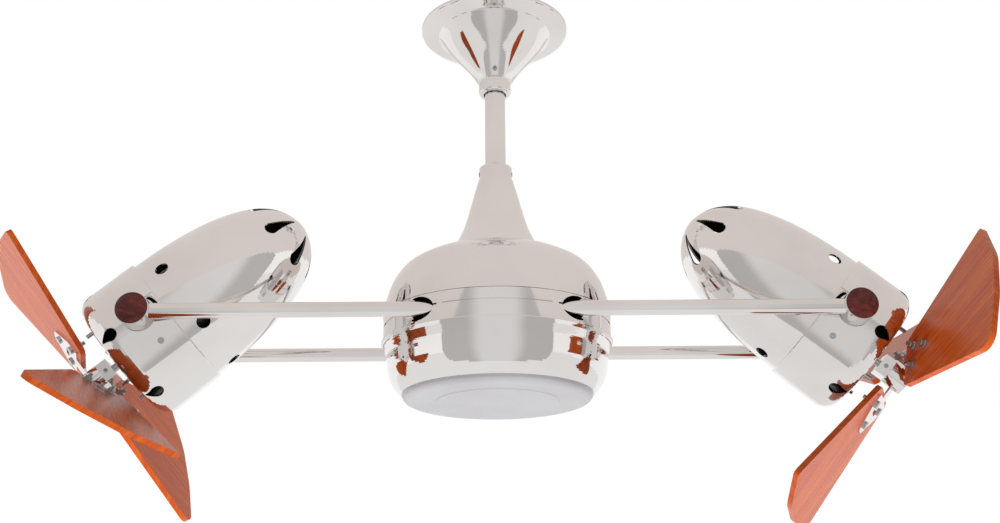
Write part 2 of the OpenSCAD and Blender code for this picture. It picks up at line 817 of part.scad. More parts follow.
module housing(s) {
  phase = s < 0 ? left_phase : right_phase;
  edge_x = head_r - face_round;
  edge_z = face_fwd - face_round;
  color(chrome) difference() {
    union() {
      rotate_extrude($fn = 144) polygon(concat(
        [[head_r - head_wall, -seam_back]],
        arc(head_r - rear_edge, -seam_back + rear_edge, rear_edge, -90, 0, 4),
        arc(edge_x, edge_z, face_round, 0, 90, 12),
        [[shaft_hole_r, face_fwd], [shaft_hole_r, face_fwd - head_wall]],
        arc(edge_x, edge_z, face_round - head_wall, 90, 0, 12)));
      for (m = [0, 1]) mirror([0, m, 0]) along_y(boss_r, boss_in, head_r + boss_out);
    }
    for (m = [0, 1]) mirror([0, m, 0])
      along_y(bolt_r + running_gap, boss_in - cut, head_r + boss_out + cut);
    for (i = [0 : face_slots - 1]) rotate([0, 0, phase + 360 / face_slots * i]) face_slot();
    for (m = [0, 1]) mirror([0, m, 0]) boss_opening();
    at_studs() cylinder(r = stud_r + fixed_gap, h = face_fwd + cut);
    at_screws(s) along_x(stud_r + fixed_gap, tail_inner_r, head_r + cut);
  }
}

// the tail's side: share of its radius, share of its length
tail_shape = [[1, 0], [0.998, 0.1], [0.985, 0.22], [0.955, 0.36], [0.905, 0.5], [0.83, 0.63],
  [0.735, 0.745], [0.61, 0.845], [0.46, 0.92], [0.29, 0.97], [0.13, 0.995], [0.08, 1]];
tail_curve = smooth([for (p = tail_shape) [tail_r * p[0], -seam_back - tail_len * p[1]]], 5);
lap_r = head_r - head_wall - fixed_gap;
// distance from the seam back to the round holes, and their turn in degrees
hole_back = 20.5;
hole_turn = -5;
// wide and narrow ends of the nose slots, as half widths and places along the tail
slot_wide = 7;
slot_narrow = 1;
slot_start = -seam_back - tail_len * 0.817;
slot_end = -seam_back - tail_len * 0.965;
// first nose slot of the left and of the right head, in degrees
left_nose = -89;
right_nose = -87;
// radius of the nose that the slots leave whole, and of the hole in its middle
nose_r = 12;
nose_hole_r = 2.4;

// long slot that narrows towards the nose
module nose_slot() {
  rotate([0, -90, 0]) translate([0, 0, -head_r]) linear_extrude(head_r - nose_r) polygon(concat(
    arc(slot_start, 0, slot_wide, -80, 80, 8),
    [[slot_end, slot_narrow], [slot_end, -slot_narrow]]));
}

// notch in the tail's collar for one pivot boss and the opening behind it, open to the front
module boss_notch() {
  half = arc_out - 1;
  along_y(half, tail_inner_r - 2, head_r);
  translate([-half, tail_inner_r - 2, 0]) cube([2 * half, head_r - tail_inner_r + 2, lap]);
}

module tail(s) {
  phase = s < 0 ? left_nose : right_nose;
  inner = inset(tail_curve, -head_wall);
  color(chrome) difference() {
    rotate_extrude($fn = 144) polygon(concat(
      [[tail_inner_r, -seam_back + lap], [lap_r, -seam_back + lap], [lap_r, -seam_back]],
      tail_curve,
      [[0, -seam_back - tail_len], [0, -seam_back - tail_len + head_wall]],
      back([for (i = [1 : len(inner) - 1]) if (inner[i][0] > head_wall) inner[i]]),
      [[tail_inner_r, -seam_back]]));
    for (i = [0 : tail_holes - 1]) rotate([0, 0, hole_turn + 360 / tail_holes * i])
      translate([0, 0, -seam_back - hole_back]) along_x(tail_hole_r, tail_inner_r - 8, tail_r + 4);
    for (i = [0 : nose_slots - 1]) rotate([0, 0, phase + 360 / nose_slots * i]) nose_slot();
    translate([0, 0, -seam_back - tail_len - cut]) cylinder(r = nose_hole_r, h = head_wall + 3 * cut);
    for (m = [0, 1]) mirror([0, m, 0]) boss_notch();
    at_screws(s) along_x(stud_r + fixed_gap, tail_inner_r - 4, head_r + cut);
  }
}

// thickness of the housing screws' heads, and the depth of their drive
screw_head_t = 1.2;
drive_depth = 0.8;

module housing_screws(s) {
  color(steel) at_screws(s) difference() {
    union() {
      along_x(stud_r, tail_inner_r - 2, head_r + cut);
      along_x(stud_r * 1.6, head_r + 0.1, head_r + screw_head_t);
    }
    along_x(stud_r * 0.8, head_r + screw_head_t - drive_depth, head_r + screw_head_t + cut);
  }
}

// the motor can lies behind the front face, held to it by long studs
can_wall = 2;
can_front = face_fwd - head_wall - 0.2;
can_back = can_front - can_len;
stud_r = 2;
stud_count = 4;
stud_phase = -45;
stud_circle = can_r - can_wall - 3.2;
// how far the studs stand out of the front face and of the can's back
stud_front = 8;
stud_back = 7;
stud_nut_t = 4;
// the shaft's bearings and the seat for the rear one on the can
head_bearing_r = 11;
head_bearing_h = 7;
seat_depth = 4;
seat_wall = 5;
stator_len = 42;
stator_z = can_back + (can_len - stator_len) / 2;
rotor_r = 24;
air_gap = 0.6;
coil_h = 12;

module can() {
  color(steel) difference() {
    union() {
      translate([0, 0, can_back]) cylinder(r = can_r, h = can_len);
      translate([0, 0, can_back - seat_depth - can_wall])
        cylinder(r = head_bearing_r + seat_wall, h = seat_depth + can_wall + cut);
    }
    translate([0, 0, can_back + can_wall]) cylinder(r = can_r - can_wall, h = can_len - 2 * can_wall);
    translate([0, 0, can_back - seat_depth])
      cylinder(r = head_bearing_r + fixed_gap, h = can_len + 2 * seat_depth);
    at_studs() translate([0, 0, can_back - cut]) cylinder(r = stud_r + fixed_gap, h = can_len + 2 * cut);
  }
}

module stator() {
  color(steel) difference() {
    translate([0, 0, stator_z]) cylinder(r = can_r - can_wall - fixed_gap, h = stator_len);
    translate([0, 0, stator_z - cut]) cylinder(r = rotor_r + air_gap, h = stator_len + 2 * cut);
    at_studs() translate([0, 0, stator_z - cut])
      cylinder(r = stud_r + fixed_gap, h = stator_len + 2 * cut);
  }
}

module windings() {
  color(copper) for (z = [stator_z - coil_h, stator_z + stator_len]) translate([0, 0, z])
    tube(stud_circle - stud_r - 1.5, rotor_r + 3, coil_h);
}

module bearings() {
  color(steel) for (z = [can_back - seat_depth, can_front - head_bearing_h]) translate([0, 0, z])
    tube(head_bearing_r, shaft_r + running_gap, head_bearing_h);
}

module studs() {
  color(steel) at_studs() {
    translate([0, 0, can_back - stud_back])
      cylinder(r = stud_r, h = stud_back + face_fwd - can_back + stud_front);
    translate([0, 0, can_back - stud_nut_t]) cylinder(r = stud_r * 1.9, h = stud_nut_t, $fn = 6);
  }
}

// ---------- propellers, drawn in the same frame as the head ----------

shaft_back = can_back - seat_depth + 1;
// the hub's back face, and the square collar behind it
hub_z = hub_fwd - hub_len * 0.42;
collar_len = 12;
collar_half = hub_r * 0.75;
collar_z = hub_z - collar_len;
// thickness of the hub in front of the shaft's end
hub_cover = 3;
shaft_front = hub_z + hub_len - hub_cover;

module shaft() {
  color(steel) translate([0, 0, shaft_back]) cylinder(r = shaft_r, h = shaft_front - shaft_back);
}

module rotor() {
  color(steel) translate([0, 0, stator_z]) tube(rotor_r, shaft_r + fixed_gap, stator_len);
}

// places something in the frame of one blade: x outwards, y along the chord, z to the front
module at_blade(i) {
  rotate([0, 0, 120 * i]) translate([0, 0, hub_fwd]) rotate([blade_pitch, 0, 0]) children();
}

// the irons' arms, which enter slots in the hub
iron_arm_w = 15;
arm_depth = 5;

module hub() {
  color(chrome) difference() {
    union() {
      translate([0, 0, hub_z]) cylinder(r = hub_r, h = hub_len);
      translate([-collar_half, -collar_half, collar_z])
        cube([2 * collar_half, 2 * collar_half, collar_len + cut]);
    }
    translate([0, 0, collar_z - cut])
      cylinder(r = shaft_r + fixed_gap, h = shaft_front - collar_z + cut + fixed_gap);
    for (i = [0 : 2]) at_blade(i)
      translate([hub_r - arm_depth, -iron_arm_w / 2 - fixed_gap, blade_t / 2 - fixed_gap])
        cube([hub_r, iron_arm_w + 2 * fixed_gap, iron_t + 2 * fixed_gap]);
    translate([0, 0, collar_z + collar_len / 2]) along_y(screw_r + fixed_gap, -hub_r, 0);
  }
}

module hub_screw() {
  color(steel) translate([0, 0, collar_z + collar_len / 2]) difference() {
    along_y(screw_r, -collar_half - drive_depth, -shaft_r - fixed_gap);
    along_y(screw_r / 2, -collar_half - drive_depth - cut, -collar_half + drive_depth);
  }
}

// the tip's two corners across the chord: the rear one lies further in
rear_tip = -0.52 * tip_w;
front_tip = 0.48 * tip_w;
rear_corner_in = 28;
front_corner_in = 5;
// radii of the corners: at the root, at the rear tip, along the tip and at the front tip
root_round = 7;
rear_round = 5;
tip_round = [60, 50];
front_round = 13;
// blade outline, x from the shaft and y across the chord
blade_outline = rounded(
  [[blade_root, root_w / 2],
   [blade_root, -root_w / 2],
   [blade_tip - rear_corner_in, rear_tip],
   [blade_tip - 0.9 * front_corner_in, rear_tip * 0.35],
   [blade_tip, front_tip * 0.25],
   [blade_tip - front_corner_in, front_tip]],
  [root_round, root_round, rear_round, tip_round[0], tip_round[1], front_round]);
// two screws side by side near the root and one further out
screw_side = root_w * 0.22;
screw_in = blade_root + 15;
screw_far = blade_root + 37;
screw_spots = [[screw_in, -screw_side], [screw_in, screw_side], [screw_far, 0]];

module blade(i) {
  color(wood) at_blade(i) difference() {
    translate([0, 0, -blade_t / 2]) linear_extrude(blade_t) polygon(blade_outline);
    for (p = screw_spots) translate([p[0], p[1], -blade_t])
      cylinder(r = screw_r + fixed_gap, h = 2 * blade_t);
  }
}

// flat blade iron: a plate that narrows outwards round the three screws
iron_half = screw_side + 9;
iron_end = 6;
iron_outline = rounded(
  [[screw_in - 10, -iron_half + 1],
   [screw_in + 5, -iron_half],
   [screw_far + 9, -iron_end],
   [screw_far + 9, iron_end],
   [screw_in + 5, iron_half],
   [screw_in - 10, iron_half - 1]],
  [4, 7, 5, 5, 7, 4]);
// slot across the plate's middle
iron_slot = [14, 5];

module irons() {
  color(chrome) for (i = [0 : 2]) at_blade(i) translate([0, 0, blade_t / 2]) difference() {
    union() {
      linear_extrude(iron_t) polygon(iron_outline);
      translate([hub_r - arm_depth + fixed_gap, -iron_arm_w / 2, 0])
        cube([blade_root + 8 - hub_r + arm_depth, iron_arm_w, iron_t]);
    }
    for (p = screw_spots) translate([p[0], p[1], -cut])
      cylinder(r = screw_r + fixed_gap, h = iron_t + 2 * cut);
    translate([screw_in + 6, 0, -cut]) rotate([0, 0, 90])
      slot(iron_slot[0], iron_slot[1], iron_t + 2 * cut);
  }
}

// head, washer and nut of a blade screw, and how far its end stands out behind the blade
screw_head_h = 1.8;
washer_h = 1.2;
screw_nut_h = 3.2;
screw_out = 8;

// screws, washers and nuts of all three blades
module blade_screws() {
  color(steel) for (i = [0 : 2]) at_blade(i) for (p = screw_spots) translate([p[0], p[1], 0]) {
    translate([0, 0, -blade_t / 2 - screw_out]) cylinder(r = screw_r, h = screw_out + blade_t + iron_t + cut);
    translate([0, 0, blade_t / 2 + iron_t]) cylinder(r = screw_r * 1.9, h = screw_head_h);
    translate([0, 0, -blade_t / 2 - washer_h]) cylinder(r = screw_r * 2.3, h = washer_h);
    translate([0, 0, -blade_t / 2 - washer_h - screw_nut_h])
      cylinder(r = screw_r * 1.9, h = screw_nut_h + cut / 2, $fn = 6);
  }
}

module left_housing() { at_head(-1) housing(-1); }
module left_tail() { at_head(-1) tail(-1); }
module left_can() { at_head(-1) can(); }
module left_stator() { at_head(-1) stator(); }
module left_windings() { at_head(-1) windings(); }
module left_bearings() { at_head(-1) bearings(); }
module left_studs() { at_head(-1) studs(); }
module left_housing_screws() { at_head(-1) housing_screws(-1); }
module right_housing() { at_head(1) housing(1); }
module right_tail() { at_head(1) tail(1); }
module right_can() { at_head(1) can(); }
module right_stator() { at_head(1) stator(); }
module right_windings() { at_head(1) windings(); }
module right_bearings() { at_head(1) bearings(); }
module right_studs() { at_head(1) studs(); }
module right_housing_screws() { at_head(1) housing_screws(1); }

// a propeller's own frame, turned by its angle at rest
module at_prop(s) {
  at_head(s) rotate([0, 0, s < 0 ? left_turn : right_turn]) children();
}

module left_shaft() { at_prop(-1) shaft(); }
module left_rotor() { at_prop(-1) rotor(); }
module left_hub() { at_prop(-1) hub(); }
module left_hub_screw() { at_prop(-1) hub_screw(); }
module left_irons() { at_prop(-1) irons(); }
module left_blade_a() { at_prop(-1) blade(0); }
module left_blade_b() { at_prop(-1) blade(1); }
module left_blade_c() { at_prop(-1) blade(2); }
module left_blade_screws() { at_prop(-1) blade_screws(); }
module right_shaft() { at_prop(1) shaft(); }
module right_rotor() { at_prop(1) rotor(); }
module right_hub() { at_prop(1) hub(); }
module right_hub_screw() { at_prop(1) hub_screw(); }
module right_irons() { at_prop(1) irons(); }
module right_blade_a() { at_prop(1) blade(0); }
module right_blade_b() { at_prop(1) blade(1); }
module right_blade_c() { at_prop(1) blade(2); }
module right_blade_screws() { at_prop(1) blade_screws(); }
module left_cups() { cups(-1); }
module right_cups() { cups(1); }

hanger_bracket();
hanger_ball();
ball_pin();
downrod();
coupling();
rod_screws();
lower_cone();
spindle();
slip_drum();
spindle_nut();
canopy();
canopy_screw();
upper_shell();
seam_band();
lower_bowl();
bottom_disc();
rod_carrier();
body_bearings();
brush_block();
front_rod();
rear_rod();
left_cups();
right_cups();
wood_caps();
pivot_bolts();
left_housing();
left_tail();
left_can();
left_stator();
left_windings();
left_bearings();
left_studs();
left_housing_screws();
right_housing();
right_tail();
right_can();
right_stator();
right_windings();
right_bearings();
right_studs();
right_housing_screws();
left_shaft();
left_rotor();
left_hub();
left_hub_screw();
left_irons();
left_blade_a();
left_blade_b();
left_blade_c();
left_blade_screws();
right_shaft();
right_rotor();
right_hub();
right_hub_screw();
right_irons();
right_blade_a();
right_blade_b();
right_blade_c();
right_blade_screws();
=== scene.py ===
"""Looks of the twin head ceiling fan: materials, small details, studio and camera, in metres."""
import json
import math

import bpy
from mathutils import Matrix, Vector

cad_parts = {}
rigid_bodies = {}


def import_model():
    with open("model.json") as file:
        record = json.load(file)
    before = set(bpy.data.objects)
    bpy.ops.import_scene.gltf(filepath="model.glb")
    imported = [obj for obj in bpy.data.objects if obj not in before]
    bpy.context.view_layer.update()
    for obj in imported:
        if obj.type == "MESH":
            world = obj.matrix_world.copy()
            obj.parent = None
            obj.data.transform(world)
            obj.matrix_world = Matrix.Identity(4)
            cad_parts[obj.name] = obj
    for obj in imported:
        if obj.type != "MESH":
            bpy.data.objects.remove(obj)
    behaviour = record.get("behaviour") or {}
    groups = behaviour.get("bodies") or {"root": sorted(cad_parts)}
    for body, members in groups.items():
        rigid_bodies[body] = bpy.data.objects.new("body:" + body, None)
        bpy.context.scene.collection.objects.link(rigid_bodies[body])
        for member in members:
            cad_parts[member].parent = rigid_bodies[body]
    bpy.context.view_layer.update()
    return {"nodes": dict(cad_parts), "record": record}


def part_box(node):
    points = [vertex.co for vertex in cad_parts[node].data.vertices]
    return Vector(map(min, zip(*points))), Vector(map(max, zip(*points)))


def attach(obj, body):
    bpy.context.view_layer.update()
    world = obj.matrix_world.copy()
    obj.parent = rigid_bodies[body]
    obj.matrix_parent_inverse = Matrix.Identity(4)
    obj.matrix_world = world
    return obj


for thing in list(bpy.data.objects):
    bpy.data.objects.remove(thing, do_unlink=True)

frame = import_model()

NODES = frame["nodes"]
JOINTS = {j["name"]: j for j in frame["record"]["behaviour"]["joints"]}
MM = 0.001
SIDES = ("left", "right")

# ---------- places taken from the frame ----------

PIVOT = {s: Vector(JOINTS[s + "_tilt"]["pos_m"]) for s in SIDES}
AXIS = {s: Vector(JOINTS[s + "_spin"]["axis"]).normalized() for s in SIDES}
ROD_Z = PIVOT["left"].z
BODY_MIDDLE = Vector((0, 0, ROD_Z))


def middle(node):
    """Centre of a node's box."""
    low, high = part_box(node)
    return (low + high) / 2


# ---------- small tools for materials ----------

class Graph:
    """A material with one Principled shader and short calls for its nodes."""

    def __init__(self, name, **values):
        self.material = bpy.data.materials.new(name)
        self.material.use_nodes = True
        self.tree = self.material.node_tree
        self.shader = self.tree.nodes["Principled BSDF"]
        self.coords = self.tree.nodes.new("ShaderNodeTexCoord")
        for socket, value in values.items():
            self.shader.inputs[socket.replace("_", " ")].default_value = value

    def put(self, socket, value):
        """Links or sets one of the shader's sockets."""
        if isinstance(value, bpy.types.NodeSocket):
            self.tree.links.new(value, self.shader.inputs[socket])
        else:
            self.shader.inputs[socket].default_value = value

    def node(self, kind, links=(), **settings):
        """A node with its inputs linked or set by name or number, and its settings."""
        n = self.tree.nodes.new("ShaderNode" + kind)
        for key, value in settings.items():
            setattr(n, key, value)
        for socket, value in dict(links).items():
            if isinstance(value, bpy.types.NodeSocket):
                self.tree.links.new(value, n.inputs[socket])
            else:
                n.inputs[socket].default_value = value
        return n

    def math(self, operation, a, b=0.0, clamp=False):
        return self.node("Math", {0: a, 1: b}, operation=operation, use_clamp=clamp).outputs[0]

    def vector(self, operation, a, b=(0, 0, 0), out=0):
        return self.node("VectorMath", {0: a, 1: b}, operation=operation).outputs[out]

    def span(self, value, low, high, to_low=0.0, to_high=1.0):
        """Maps a value smoothly from one range to another."""
        return self.node(
            "MapRange",
            {"Value": value, 1: low, 2: high, 3: to_low, 4: to_high},
            interpolation_type="SMOOTHSTEP",
        ).outputs[0]

    def noise(self, scale, detail=3.0, rough=0.5, at=None, stretch=None, twist=0.0):
        """Noise in object coordinates, stretched along the axes if asked."""
        at = at or self.coords.outputs["Object"]
        if stretch:
            at = self.vector("MULTIPLY", at, stretch)
        n = self.node("TexNoise", {"Vector": at, "Scale": scale, "Detail": detail,
                                   "Roughness": rough, "Distortion": twist})
        return n.outputs["Fac"]

    def ramp(self, value, *stops):
        """A colour ramp of (place, colour) stops."""
        n = self.node("ValToRGB", {0: value})
        ramp = n.color_ramp
        while len(ramp.elements) < len(stops):
            ramp.elements.new(0.5)
        for element, (place, colour) in zip(ramp.elements, stops):
            element.position = place
            element.color = (*colour, 1)
        return n.outputs["Color"]

    def mix(self, factor, a, b):
        """Mixes two colours."""
        n = self.node("Mix", data_type="RGBA")
        for socket, value in ((0, factor), (6, a), (7, b)):
            if isinstance(value, bpy.types.NodeSocket):
                self.tree.links.new(value, n.inputs[socket])
            else:
                n.inputs[socket].default_value = value if socket == 0 else (*value, 1)
        return n.outputs[2]

    def bump(self, height, depth, strength=1.0, over=None):
        """Adds a bump whose full height is a real depth in metres."""
        links = {"Height": height, "Distance": depth, "Strength": strength}
        if over:
            links["Normal"] = over
        normal = self.node("Bump", links).outputs[0]
        self.put("Normal", normal)
        return normal


def srgb(r, g, b):
    """A colour read as 0 to 255 sRGB values, in linear light."""
    return tuple(
        c / 12.92 if c <= 0.04045 else ((c + 0.055) / 1.055) ** 2.4
        for c in (r / 255, g / 255, b / 255)
    )


# ---------- materials ----------

CHROME = srgb(236, 233, 231)
CHROME_WORN = srgb(226, 222, 220)
# painted shade: black put on the inner faces of the body and the heads, where only shadow falls
PAINTED_SHADE_INSIDE = srgb(14, 13, 13)
# height of the faint waves in sheet metal, and of polishing marks and fine grain
WAVE_H = 0.12 * MM
POLISH_H = 0.004 * MM
GRAIN_H = 0.01 * MM
# a face is an inner one, and gets painted shade, when it looks back at the middle by more than
# this
INNER_FACING = (-0.3, -0.15)


def chrome(name, painted_shade_inside_of=None):
    """Polished chrome with faint polishing marks; if a middle is given, its inside is painted
    black as painted shade.
    """
    g = Graph(name, Roughness=0.05)
    cloud = g.noise(9, 4)
    fine = g.noise(260, 2, stretch=(1, 1, 0.12))
    colour = g.mix(g.span(cloud, 0.35, 0.75), CHROME, CHROME_WORN)
    rough = g.math("ADD", g.span(cloud, 0.3, 0.8, 0.035, 0.075), g.span(fine, 0.5, 0.75, 0, 0.02))
    metal = 1.0
    # inner faces get painted shade: black, not metal and rough, in place of the shadow inside
    if painted_shade_inside_of:
        outwards = g.vector("SUBTRACT", g.coords.outputs["Object"], tuple(painted_shade_inside_of))
        outwards = g.vector("NORMALIZE", outwards)
        facing = g.vector("DOT_PRODUCT", g.coords.outputs["Normal"], outwards, out="Value")
        metal = g.span(facing, *INNER_FACING)
        colour = g.mix(metal, PAINTED_SHADE_INSIDE, colour)
        rough = g.math("ADD", rough, g.span(facing, *INNER_FACING, 0.5, 0))
    g.put("Base Color", colour)
    g.put("Metallic", metal)
    g.put("Roughness", rough)
    first = g.bump(g.noise(7, 1), WAVE_H, 0.6)
    g.bump(fine, POLISH_H, 0.5, over=first)
    return g.material


# height of the wood's growth lines and depth of its pores under the lacquer
LINE_RELIEF = 0.08 * MM
PORE_DEPTH = 0.05 * MM


def blade_wood(name, node, along, across, shade):
    """Lacquered reddish wood whose grain runs along one blade."""
    g = Graph(name, Specular_IOR_Level=0.27, IOR=1.45)
    at = g.vector("SUBTRACT", g.coords.outputs["Object"], tuple(middle(node)))
    x = g.vector("DOT_PRODUCT", at, tuple(along), out="Value")
    y = g.vector("DOT_PRODUCT", at, tuple(across), out="Value")
    flat = g.node("CombineXYZ", {0: x, 1: y, 2: shade}).outputs[0]
    # broad figure, growth lines and fine pores
    figure = g.noise(5, 3, at=flat, stretch=(1.2, 9, 1), twist=0.5)
    lines = g.noise(14, 5, 0.6, at=flat, stretch=(0.8, 22, 1), twist=0.25)
    pores = g.noise(120, 2, at=flat, stretch=(0.35, 14, 1))
    base = g.ramp(
        figure, (0.28, srgb(184, 64, 12)), (0.5, srgb(208, 86, 16)), (0.74, srgb(226, 114, 30)))
    streak = g.ramp(
        lines, (0.3, srgb(160, 50, 8)), (0.52, srgb(210, 88, 18)), (0.78, srgb(232, 128, 40)))
    colour = g.mix(0.5, base, streak)
    colour = g.mix(g.span(pores, 0.6, 0.74, 0, 0.45), colour, srgb(108, 36, 12))
    g.put("Base Color", colour)
    g.put("Roughness", g.span(lines, 0.3, 0.75, 0.25, 0.32))
    first = g.bump(lines, LINE_RELIEF, 0.5)
    g.bump(pores, PORE_DEPTH, 0.6, over=first)
    return g.material


def cap_wood():
    """Dark burl wood of the pivot caps."""
    g = Graph("cap_wood", Roughness=0.42, Specular_IOR_Level=0.3)
    burl = g.noise(60, 5, 0.6, stretch=(1, 1, 1.6), twist=1.6)
    rings = g.noise(220, 3, 0.6, twist=0.8)
    colour = g.ramp(
        burl, (0.3, srgb(58, 17, 14)), (0.5, srgb(92, 32, 27)), (0.72, srgb(126, 52, 42)))
    colour = g.mix(g.span(rings, 0.52, 0.7, 0, 0.4), colour, srgb(46, 14, 13))
    g.put("Base Color", colour)
    g.bump(rings, PORE_DEPTH, 0.5)
    return g.material


def pale_disc():
    """Satin pale disc under the body, faintly cloudy."""
    g = Graph("pale_disc", Roughness=0.36, Coat_Weight=0.15, Coat_Roughness=0.25)
    cloud = g.noise(12, 3)
    grain = g.noise(900, 2)
    colour = g.mix(g.span(cloud, 0.3, 0.7), srgb(168, 166, 170), srgb(176, 175, 178))
    g.put("Base Color", colour)
    g.put("Roughness", g.span(grain, 0.3, 0.7, 0.3, 0.42))
    g.bump(grain, GRAIN_H, 0.5)
    return g.material


# how much darker the cloudy spots of plated steel are
STEEL_DARKER = 0.72


def steel(name, colour, rough):
    """Zinc plated or turned steel with fine marks."""
    g = Graph(name, Metallic=1.0)
    cloud = g.noise(45, 4)
    lines = g.noise(420, 2, stretch=(1, 1, 14))
    darker = tuple(c * STEEL_DARKER for c in colour)
    g.put("Base Color", g.mix(g.span(cloud, 0.3, 0.75), colour, darker))
    g.put("Roughness", g.math("ADD", g.span(cloud, 0.3, 0.8, rough - 0.06, rough + 0.08),
                              g.span(lines, 0.4, 0.7, 0, 0.06)))
    g.bump(lines, GRAIN_H, 0.5)
    return g.material


def layered(name, axis, pitch, colour, gap, metallic, rough):
    """Metal in thin layers or turns, square to an axis."""
    g = Graph(name, Metallic=metallic, Roughness=rough)
    along = g.vector("DOT_PRODUCT", g.coords.outputs["Object"], tuple(axis), out="Value")
    turn = g.math("FRACT", g.math("DIVIDE", along, pitch))
    ridge = g.math("PINGPONG", turn, 0.5)
    g.put("Base Color", g.mix(g.span(ridge, 0.04, 0.2), gap, colour))
    g.bump(ridge, pitch * 0.6, 0.8)
    return g.material


# height of the skin of cast metal, and of the grain of moulded plastic
CAST_SKIN_H = 0.12 * MM
MOULD_GRAIN_H = 0.02 * MM


def cast_metal():
    """Rough cast aluminium of the carrier inside the body."""
    g = Graph("cast_metal", Metallic=0.9)
    skin = g.noise(380, 4, 0.65)
    g.put("Base Color", g.mix(g.span(skin, 0.3, 0.7), srgb(96, 95, 94), srgb(128, 127, 126)))
    g.put("Roughness", g.span(skin, 0.3, 0.7, 0.45, 0.65))
    g.bump(skin, CAST_SKIN_H, 0.8)
    return g.material


def black_plastic():
    """Moulded black plastic."""
    g = Graph("black_plastic")
    grain = g.noise(1200, 2)
    g.put("Base Color", g.mix(g.span(grain, 0.3, 0.7), srgb(22, 21, 21), srgb(34, 33, 33)))
    g.put("Roughness", g.span(grain, 0.3, 0.7, 0.38, 0.52))
    g.bump(grain, MOULD_GRAIN_H, 0.5)
    return g.material


# the middle of a head's inside, whose inner faces get painted shade, lies this far behind its
# pivot
HEAD_MIDDLE_BACK = 30 * MM
# distance between slip rings, between a core's sheets and between a winding's turns
SLIP_RING_PITCH = 7 * MM
SHEET_PITCH = 0.8 * MM
TURN_PITCH = 1.1 * MM
ZINC = srgb(186, 187, 190)
# moves the grain of each next blade, so that no two blades look alike
GRAIN_SHIFT = 0.37

PLAIN_CHROME = chrome("chrome")
# chrome of the body's shells, with painted shade, black, on their inner faces
BODY_CHROME_PAINTED_SHADE = chrome("chrome_body_painted_shade", painted_shade_inside_of=BODY_MIDDLE)
STEEL = steel("steel", ZINC, 0.24)
BLACK = black_plastic()

finish = {}
for node in NODES:
    finish[node] = STEEL
for node in ("downrod", "lower_cone", "canopy", "front_rod", "rear_rod",
             "left_cups", "right_cups"):
    finish[node] = PLAIN_CHROME
# the body's shells: chrome with painted shade on their inner faces
for node in ("upper_shell", "seam_band", "lower_bowl"):
    finish[node] = BODY_CHROME_PAINTED_SHADE
finish["wood_caps"] = cap_wood()
finish["bottom_disc"] = pale_disc()
finish["rod_carrier"] = cast_metal()
finish["brush_block"] = BLACK
finish["slip_drum"] = layered(
    "slip_rings", (0, 0, 1), SLIP_RING_PITCH, srgb(196, 120, 76), srgb(40, 30, 26), 1, 0.25)

for s in SIDES:
    axis, pivot = AXIS[s], PIVOT[s]
    # each head's housing and tail: chrome with painted shade, black, on their inner faces
    head = chrome("chrome_head_painted_shade_" + s, painted_shade_inside_of=pivot - axis * HEAD_MIDDLE_BACK)
    finish[s + "_housing"] = finish[s + "_tail"] = head
    for part in ("_hub", "_irons"):
        finish[s + part] = PLAIN_CHROME
    for part in ("_stator", "_rotor"):
        finish[s + part] = layered(
            "core_" + s + part, axis, SHEET_PITCH, srgb(120, 121, 124), srgb(52, 50, 50), 1, 0.4)
    finish[s + "_windings"] = layered(
        "wire_" + s, axis, TURN_PITCH, srgb(176, 96, 52), srgb(66, 28, 16), 0.8, 0.3)
    finish[s + "_can"] = steel("can_" + s, srgb(120, 120, 122), 0.42)
    for i, letter in enumerate("abc"):
        node = s + "_blade_" + letter
        # the blade's length runs from the shaft to the middle of its box
        out = middle(node) - pivot
        out = (out - axis * out.dot(axis)).normalized()
        shift = GRAIN_SHIFT * i + (s == "right")
        finish[node] = blade_wood(
            "blade_wood_" + s + "_" + letter, node, out, axis.cross(out), shift)

for node, material in finish.items():
    mesh = NODES[node].data
    mesh.materials.clear()
    mesh.materials.append(material)

# ---------- small details ----------

# sides of the turned rings
RING_SIDES = 64


def lathe(name, outline, place, body, material, turns=RING_SIDES, smooth=True):
    """A ring turned from (radius, height) points; a place is (origin, axis)."""
    origin, axis = place
    spin = axis.to_track_quat("Z", "Y").to_matrix().to_4x4()
    count = len(outline)
    verts = []
    for k in range(turns):
        a = 2 * math.pi * k / turns
        verts += [(r * math.cos(a), r * math.sin(a), h) for r, h in outline]
    faces = []
    for k in range(turns):
        n = (k + 1) % turns
        for i in range(count):
            j = (i + 1) % count
            faces.append((k * count + i, n * count + i, n * count + j, k * count + j))
    mesh = bpy.data.meshes.new(name)
    mesh.from_pydata(verts, [], faces)
    mesh.transform(Matrix.Translation(origin) @ spin)
    mesh.update()
    for face in mesh.polygons:
        face.use_smooth = smooth
    mesh.materials.append(material)
    piece = bpy.data.objects.new(name, mesh)
    bpy.context.collection.objects.link(piece)
    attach(piece, body)


# dark joint lines round each wooden cap, and a ring of painted shade round the downrod at the
# canopy's mouth, in place of the shadow in its recess
LINE_H = 0.06 * MM
CAP_LINE_W = 0.35 * MM
CUP_RIM = 0.8 * MM
# width of the painted shade ring at the canopy's mouth
MOUTH_SHADE_W = 1.1 * MM
ROD_CLEAR = 0.3 * MM
cup_low, cup_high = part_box("left_cups")
CAP_R = (cup_high.z - cup_low.z) / 2 - CUP_RIM
CUP_FRONT = cup_high.y
MOUTH_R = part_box("downrod")[1].x + ROD_CLEAR


def joint_and_shade_ring(name, r_in, r_out, place, body):
    """A thin dark ring that lies on a face; used for dark joints and for painted shade."""
    outline = [(r_in, 0), (r_out, 0), (r_out, LINE_H), (r_in, LINE_H)]
    lathe(name, outline, place, body, BLACK)


